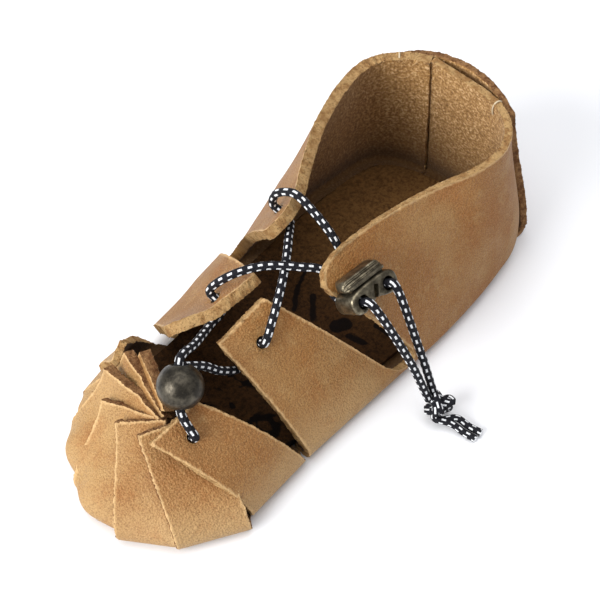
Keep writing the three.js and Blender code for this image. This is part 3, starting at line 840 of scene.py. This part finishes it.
makeFootbed()
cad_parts["sole"].data.materials.clear()
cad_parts["sole"].data.materials.append(hideMaterials[0])
print("footbed made")

# Cord: one round braid with rows of white flecks
cord = {
    "diameter": 2.3, "sides": 16, "ring": 0.4, "black": (0.005, 0.005, 0.008), "white": (0.78, 0.79, 0.80),
    "grey": (0.42, 0.43, 0.45), "rows": 5, "period": 2.6, "fleck": 0.46, "fleckWidth": 0.40, "stagger": 0.2,
    "soft": 0.03, "braids": 8, "lay": 1.25, "perSpan": 40, "across": (0.31, 0.17, 0.93), "dome": 0.16,
    "tipTurn": 0.12, "clear": 0.6,
}


def braidedCord():
    g = Graph("cordBraid")
    uv = g.axes(g.node("ShaderNodeUVMap", uv_map="UVMap").outputs[0])
    around, along = uv["x"], uv["y"]
    lane = g.times(around, cord["rows"])
    stagger = g.times(g.math("FLOOR", lane), cord["stagger"])
    beat = g.math("FRACT", g.math("ADD", g.math("DIVIDE", along, cord["period"]), stagger))
    fuzz = g.times(g.math("SUBTRACT", g.noise(2200, 2), 0.5), 0.12)

    def inside(place, size):
        off = g.math("ADD", g.math("ABSOLUTE", g.math("SUBTRACT", place, 0.5)), fuzz)
        return g.ramp(off, size / 2 + cord["soft"], size / 2 - cord["soft"])

    fleck = g.times(inside(beat, cord["fleck"]), inside(g.math("FRACT", lane), cord["fleckWidth"]))
    strands = g.noise(3500, 2)
    white = g.mix(g.ramp(strands, 0.35, 0.7, 0.0, 0.35), cord["white"], cord["grey"])
    g.colour = g.mix(fleck, cord["black"], white)
    g.finish(0.7, 0.22)
    turns = g.times(around, cord["braids"] * 2 * math.pi)
    rise = g.times(along, 2 * math.pi / cord["lay"])
    one = g.math("SINE", g.math("ADD", turns, rise))
    two = g.math("SINE", g.math("SUBTRACT", turns, rise))
    weave = g.math("ADD", g.math("MAXIMUM", one, two), g.times(strands, 0.5))
    g.set("Normal", g.bump(weave, 0.45, 0.00025))
    return g.material


def smoothRoute(points, spacing):
    points = [np.array(p, float) for p in points]
    shares = np.linspace(0, 1, cord["perSpan"] * (len(points) - 1) + 1)
    fine = np.array([splinePoint(points, share) for share in shares])
    lengths = np.concatenate([[0], np.cumsum(np.linalg.norm(np.diff(fine, axis=0), axis=1))])
    stops = np.linspace(0, lengths[-1], max(4, round(lengths[-1] / spacing)) + 1)
    return np.stack([np.interp(stops, lengths, fine[:, k]) for k in range(3)], 1), stops


# A closed tube along each route, with its turn and its length in millimetres as UV
def cordTube(name, routes, diameter, material):
    verts, faces, uvs = [], [], []
    sides = cord["sides"]
    angles = np.arange(sides) * 2 * math.pi / sides
    for route in routes:
        line, stops = smoothRoute(route, cord["ring"])
        ahead = np.gradient(line, axis=0)
        ahead /= np.linalg.norm(ahead, axis=1)[:, None]
        side = np.cross(ahead[0], cord["across"])
        first = len(verts)
        for k, centre in enumerate(line):
            side = unit(side - ahead[k] * (side @ ahead[k]))
            other = np.cross(ahead[k], side)
            ring = np.cos(angles)[:, None] * side + np.sin(angles)[:, None] * other
            verts.extend(centre + ring * diameter / 2)
        for k in range(len(line) - 1):
            for s in range(sides):
                a, b = first + k * sides + s, first + k * sides + (s + 1) % sides
                faces.append((a, b, b + sides, a + sides))
                u0, u1 = s / sides, (s + 1) / sides
                uvs.extend([(u0, stops[k]), (u1, stops[k]), (u1, stops[k + 1]), (u0, stops[k + 1])])
        for k, step, flip in ((0, -1, True), (len(line) - 1, 1, False)):
            tip = len(verts)
            verts.append(line[k] + ahead[k] * step * diameter * cord["dome"])
            for s in range(sides):
                a, b = first + k * sides + s, first + k * sides + (s + 1) % sides
                faces.append((b, a, tip) if flip else (a, b, tip))
                uvs.extend([(cord["tipTurn"], stops[k])] * 3)
    mesh = bpy.data.meshes.new(name)
    mesh.from_pydata([tuple(v * mm) for v in verts], [], faces)
    layer = mesh.uv_layers.new(name="UVMap")
    layer.data.foreach_set("uv", np.array(uvs).ravel())
    mesh.materials.append(material)
    mesh.update()
    mesh.shade_smooth()
    piece = bpy.data.objects.new(name, mesh)
    bpy.context.scene.collection.objects.link(piece)
    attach(piece, "root")
    return piece


bead = {
    "diameter": 12.0, "bore": 4.4, "centre": (7.1, -52.6, 36.6), "axis": (-0.48, 0.54, 0.69),
    "segments": 64, "rings": 40, "boreCuts": 8, "lip": 0.35,
}
beadAxis = unit(np.array(bead["axis"]))


def onBead(distance):
    return np.array(bead["centre"]) + beadAxis * distance


def offHole(hole, distance):
    point, out = cordHoles[hole]
    return point + out * distance


clear = cord["diameter"] / 2 + cord["clear"]
behind = -hide["thickness"] - clear


def throughHole(hole, start=behind):
    return [offHole(hole, stop) for stop in (start, -hide["thickness"] / 2, clear)]


frontStrand = [
    *throughHole("lateralStrap", behind - 1), onBead(-6.5), onBead(0), onBead(6.5),
    (1.4, -41, 37.5), (-1.6, -33, 34), *throughHole("medialWing"),
    (-3.5, -23, 43.5), (2, -16, 45.5), (9, -9, 44.3), (13.5, -5, 42.5),
    offHole("lockFront", behind + 0.8) + lockUp * 2.2, *throughHole("lockFront")[1:],
    offHole("lockFront", lock["depth"]),
]
rearStrand = [
    onBead(5), (6.2, -43.5, 35), (7.6, -38.5, 29), (8.6, -32, 25), *throughHole("lateralWing"),
    (11.5, -23, 37.5), (8.5, -16, 42), (5, -10, 43.6), (0, -3, 43.2), *throughHole("medialQuarter"),
    (-9.5, 3.5, 49), (-4.5, 4.6, 51.5), (2, 4.4, 49.5), (9, 3.6, 46), *throughHole("lockRear"),
    offHole("lockRear", lock["depth"]),
]
cordMaterial = braidedCord()
strands = cordTube("lace_strands", [frontStrand, rearStrand], cord["diameter"], cordMaterial)
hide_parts("lace_front", "lace_crossing", "lace_rear")

# The two strands tied together in one overhand knot, with their short cut tails
knot = {
    "centre": (48.2, 3.0, 4.7), "ring": 2.0, "wrap": 1.25, "spread": 1.9, "strand": 2.0,
    "open": 0.35, "points": 40, "ringApart": 0.45, "apart": 0.55,
    # From the centre: x, y, how far each strand lies from the middle of the two, z
    "leadIn": [(-3.2, 0.0, 1.2, 2.6), (-1.0, 0.0, 0.9, 2.4)],
    "tail": [(4.8, 0.3, 1.2, -2.2), (8.6, 0.8, 1.25, -3.2), (12.3, 1.3, 1.35, -3.5)],
}
knotCentre = np.array(knot["centre"])
endRoutes = {}
for name, hole, side in (("lace_end_front", "lockFront", -1), ("lace_end_rear", "lockRear", 1)):
    mouth = offHole(hole, lock["depth"] + 2 * lock["gap"])
    endRoutes[name] = [
        mouth, mouth + 1.5 * seatOut, (mouth + knotCentre) / 2 + (1, 0, 1),
        knotCentre + (-3.0, 1.2 * side, 2.4),
    ]


def knotRoutes():
    turns = np.linspace(knot["open"], 2 * math.pi - knot["open"], knot["points"])
    routes = []
    for side in (-1, 1):
        ring = knot["ring"] + knot["wrap"] * np.cos(3 * turns) + knot["ringApart"] * side
        sway = knot["wrap"] * np.sin(3 * turns) * knot["spread"] + knot["apart"] * side
        loops = np.stack([ring * np.cos(2 * turns), sway, ring * np.sin(2 * turns)], 1)
        leadIn = [(x, y + apart * side, z) for x, y, apart, z in knot["leadIn"]]
        tail = [(x, y + apart * side, z) for x, y, apart, z in knot["tail"]]
        routes.append(knotCentre + np.concatenate([leadIn, loops, tail]))
    return routes


knotPiece = cordTube("lace_knot_and_tails", knotRoutes(), knot["strand"], cordMaterial)
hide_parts("lace_knot", "lace_tail_front", "lace_tail_rear")
for name, route in endRoutes.items():
    piece = cordTube(name + "_cord", [route], cord["diameter"], cordMaterial)
    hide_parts(name)
print("cords made")

# Two tacking stitches that hold the heel tab to the collar
thread = {"diameter": 0.5, "white": (0.55, 0.45, 0.30), "down": 3.4, "height": 0.98}
tacks = [("medialQuarter", 0.83), ("lateralQuarter", 0.125)]


def makeStitches():
    g = Graph("stitchThread")
    g.colour = (*thread["white"], 1)
    g.finish(0.8)
    routes = []
    drop = np.array((0.0, 0.0, thread["down"]))
    for flap, share in tacks:
        top, out = facePoint(flap, share, thread["height"])
        inner = top - out * (hide["thickness"] + 0.15)
        outer = top + out * 0.3
        # Up inside the collar, over its edge and a little way down outside
        routes.append([
            inner - drop + out * 0.6, inner - drop * 0.7, inner + (0, 0, 0.5), top - out * 1.1 + (0, 0, 1.3),
            outer + (0, 0, 0.5), outer - drop * 0.4 - out * 0.6,
        ])
    piece = cordTube("collar_stitches", routes, thread["diameter"], g.material)
    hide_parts("upper")


makeStitches()
print("stitches made")

# Metals: cloudy and stained with age
bronze = {
    "clouds": (420, 5, 0.65), "stains": (1100, 4, 0.6), "dark": (0.028, 0.024, 0.018),
    "bright": (0.095, 0.082, 0.06), "stain": (0.022, 0.02, 0.017), "stained": 0.6, "metallic": 0.85,
    "rough": (0.42, 0.28), "cloudRelief": 1.0, "stainRelief": 0.5, "relief": 0.15,
}
brass = {
    "clouds": (380, 4, 0.6), "stains": (900, 4, 0.6), "dark": (0.07, 0.058, 0.038),
    "bright": (0.24, 0.205, 0.14), "stain": (0.03, 0.026, 0.02), "stained": 0.5, "metallic": 0.9,
    "rough": (0.42, 0.26), "cloudRelief": 0.0, "stainRelief": 1.0, "relief": 0.12,
}


def agedMetal(name, metal):
    g = Graph(name)
    clouds = g.noise(*metal["clouds"])
    stains = g.noise(*metal["stains"])
    g.colour = g.mix(g.ramp(clouds, 0.35, 0.68), metal["dark"], metal["bright"])
    g.lay(g.ramp(stains, 0.55, 0.75, 0.0, metal["stained"]), metal["stain"])
    g.finish(g.ramp(clouds, 0.3, 0.7, *metal["rough"]))
    g.set("Metallic", metal["metallic"])
    pitted = g.times(stains, metal["stainRelief"])
    cast = g.times(clouds, metal["cloudRelief"])
    g.set("Normal", g.bump(g.math("ADD", cast, pitted), metal["relief"], 0.0004))
    return g.material


# Bead: a drilled ball of dark bronze
def makeBead():
    deselectAll()
    bpy.ops.mesh.primitive_uv_sphere_add(
        segments=bead["segments"], ring_count=bead["rings"], radius=bead["diameter"] / 2 * mm,
    )
    piece = takeNew("bead_bronze")
    toEdit()
    selectMesh("DESELECT")
    toObject()
    for v in piece.data.vertices:
        v.select = math.hypot(v.co.x, v.co.y) < bead["bore"] / 2 * mm
    toEdit()
    bpy.ops.mesh.delete(type="VERT")
    bpy.ops.mesh.select_non_manifold()
    bpy.ops.mesh.bridge_edge_loops(number_cuts=bead["boreCuts"])
    closeMesh()
    addBevel(piece, bead["lip"], segments=3, angle=40)
    applyModifiers(piece)
    bpy.ops.object.shade_smooth()
    piece.rotation_euler = Vector(beadAxis).to_track_quat("Z", "Y").to_euler()
    piece.location = Vector(bead["centre"]) * mm
    bpy.ops.object.transform_apply(location=True, rotation=True, scale=True)
    piece.data.materials.append(agedMetal("beadBronze", bronze))
    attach(piece, "root")
    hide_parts("bead")


makeBead()
print("bead made")

# Cord lock: a two-hole body and the ribbed button let into its top; u runs along, v up, w out
lockOutline = [
    (-8.5, 0.0), (-7.7, -2.1), (-5.4, -3.0), (-3.1, -2.5), (0.0, -1.5), (3.1, -2.5), (5.4, -3.0), (7.7, -2.1),
    (8.5, 0.2), (7.8, 2.3), (5.2, 3.3), (0.0, 3.6), (-5.2, 3.3), (-7.8, 2.3),
]
buttonProfile = [
    (0.6, 0.0), (6.7, 0.0), (7.0, 0.2), (7.0, 0.65), (6.7, 0.85), (5.9, 0.9), (5.75, 1.1), (5.95, 1.35),
    (5.7, 1.65), (4.9, 1.7), (4.75, 1.9), (4.9, 2.15), (4.6, 2.45), (3.8, 2.5), (1.6, 2.5), (0.9, 2.3),
    (0.6, 1.8),
]
button = {
    "half": 7.2, "round": 2.0, "blunt": 1.06, "plug": (12.0, 1.8, 3.6), "play": (0.6, 0.4, 0.6),
    "foot": 1.9, "core": 3.9, "stations": 44, "endAngle": 0.05,
}


def lockBlock(centre, size):
    deselectAll()
    bpy.ops.mesh.primitive_cube_add(size=1, location=Vector(centre) * mm, scale=Vector(size) * mm)
    return bpy.context.object


# The button's plug, or with its play the socket for it
def plugBlock(play=(0.0, 0.0, 0.0)):
    middle = (0, button["foot"], lock["gap"] + lock["depth"] / 2)
    return lockBlock(middle, Vector(button["plug"]) + Vector(play))


def seatOnLeather(piece, node, material):
    axes = np.stack([lockAlong, lockUp, seatOut], 1)
    for v in piece.data.vertices:
        v.co = Vector(axes @ np.array(v.co) + seatPoint * mm)
    piece.data.materials.clear()
    piece.data.materials.append(material)
    selectOnly(piece)
    bpy.ops.object.shade_smooth_by_angle(angle=math.radians(35))
    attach(piece, "root")
    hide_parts(node)


def makeLockBody(material):
    deselectAll()
    outline = closedOutline(lockOutline, lock["points"])
    bpy.ops.mesh.primitive_circle_add(vertices=lock["points"], radius=1, fill_type="NGON")
    piece = takeNew("lock_body")
    for v, (u, height) in zip(piece.data.vertices, outline):
        v.co = Vector((u, height + lock["middle"], lock["gap"])) * mm
    toEdit()
    selectMesh("SELECT")
    bpy.ops.mesh.extrude_region_move(TRANSFORM_OT_translate={"value": (0, 0, lock["depth"] * mm)})
    closeMesh()
    addBevel(piece, lock["soft"], segments=4, angle=45)
    applyModifiers(piece)
    for side in (-1, 1):
        eye = (side * lock["holeSpacing"] / 2, lock["middle"], lock["depth"] / 2)
        punchHole(piece, eye, (0, 0, 1), None, lock["hole"])
    u, height = lock["slotPlace"]
    window = lockBlock((u, lock["middle"] + height, lock["gap"] + lock["depth"]), lock["slot"])
    window.rotation_euler.z = math.radians(lock["slotTilt"])
    combine(piece, window, "DIFFERENCE")
    combine(piece, plugBlock(button["play"]), "DIFFERENCE")
    seatOnLeather(piece, "cord_lock_body", material)


def makeLockButton(material):
    deselectAll()
    profile = np.array(buttonProfile + buttonProfile[:1])
    bpy.ops.mesh.primitive_grid_add(x_subdivisions=len(profile) - 1, y_subdivisions=button["stations"])
    piece = takeNew("lock_button")
    angles = np.linspace(button["endAngle"], math.pi - button["endAngle"], button["stations"] + 1)
    rows = []
    for u in -button["half"] * np.cos(angles):
        over = max(0, abs(u) - (button["half"] - button["round"])) / (button["round"] * button["blunt"])
        size = math.sqrt(1 - over ** 2)
        w = button["core"] + (profile[:, 0] - button["core"]) * size
        v = button["foot"] + lock["gap"] + profile[:, 1] * size
        rows.append(np.stack([np.full(len(profile), u), v, w], 1))
    piece.data.vertices.foreach_set("co", (np.concatenate(rows) * mm).ravel())
    toEdit()
    selectMesh("SELECT")
    bpy.ops.mesh.remove_doubles(threshold=0.001 * mm)
    selectMesh("DESELECT")
    bpy.ops.mesh.select_non_manifold()
    bpy.ops.mesh.fill_holes(sides=0)
    closeMesh()
    combine(piece, plugBlock(), "UNION")
    seatOnLeather(piece, "cord_lock_button", material)


lockMaterial = agedMetal("lockBrass", brass)
makeLockBody(lockMaterial)
makeLockButton(lockMaterial)
print("cord lock made")

# The white floor and its soft light
floor = {"size": 6.0, "colour": (0.86, 0.865, 0.88)}
sky = {"colour": (0.93, 0.95, 1.0), "strength": 0.55}


def makeFloor():
    deselectAll()
    bpy.ops.mesh.primitive_plane_add(size=floor["size"])
    ground = bpy.context.object
    ground.name = "floor"
    g = Graph("floorPaper")
    g.colour = (*floor["colour"], 1)
    g.finish(0.9)
    ground.data.materials.append(g.material)


lamps = [
    dict(name="window", place=(-0.25, -1.2, 0.62), size=0.9, power=24),
    dict(name="sky", place=(-0.12, 0.1, 1.3), size=1.5, power=13),
]


def makeLight():
    for lamp in lamps:
        bpy.ops.object.light_add(type="AREA", location=lamp["place"])
        light = bpy.context.object
        light.name = lamp["name"]
        light.data.size = lamp["size"]
        light.data.energy = lamp["power"]
        light.rotation_euler = (-Vector(lamp["place"])).to_track_quat("-Z", "Y").to_euler()
    world = bpy.data.worlds.new("studio")
    world.use_nodes = True
    background = world.node_tree.nodes["Background"]
    background.inputs["Color"].default_value = (*sky["colour"], 1)
    background.inputs["Strength"].default_value = sky["strength"]
    bpy.context.scene.world = world
    bpy.context.scene.view_settings.view_transform = "Standard"


makeFloor()
makeLight()
print("floor and light made")
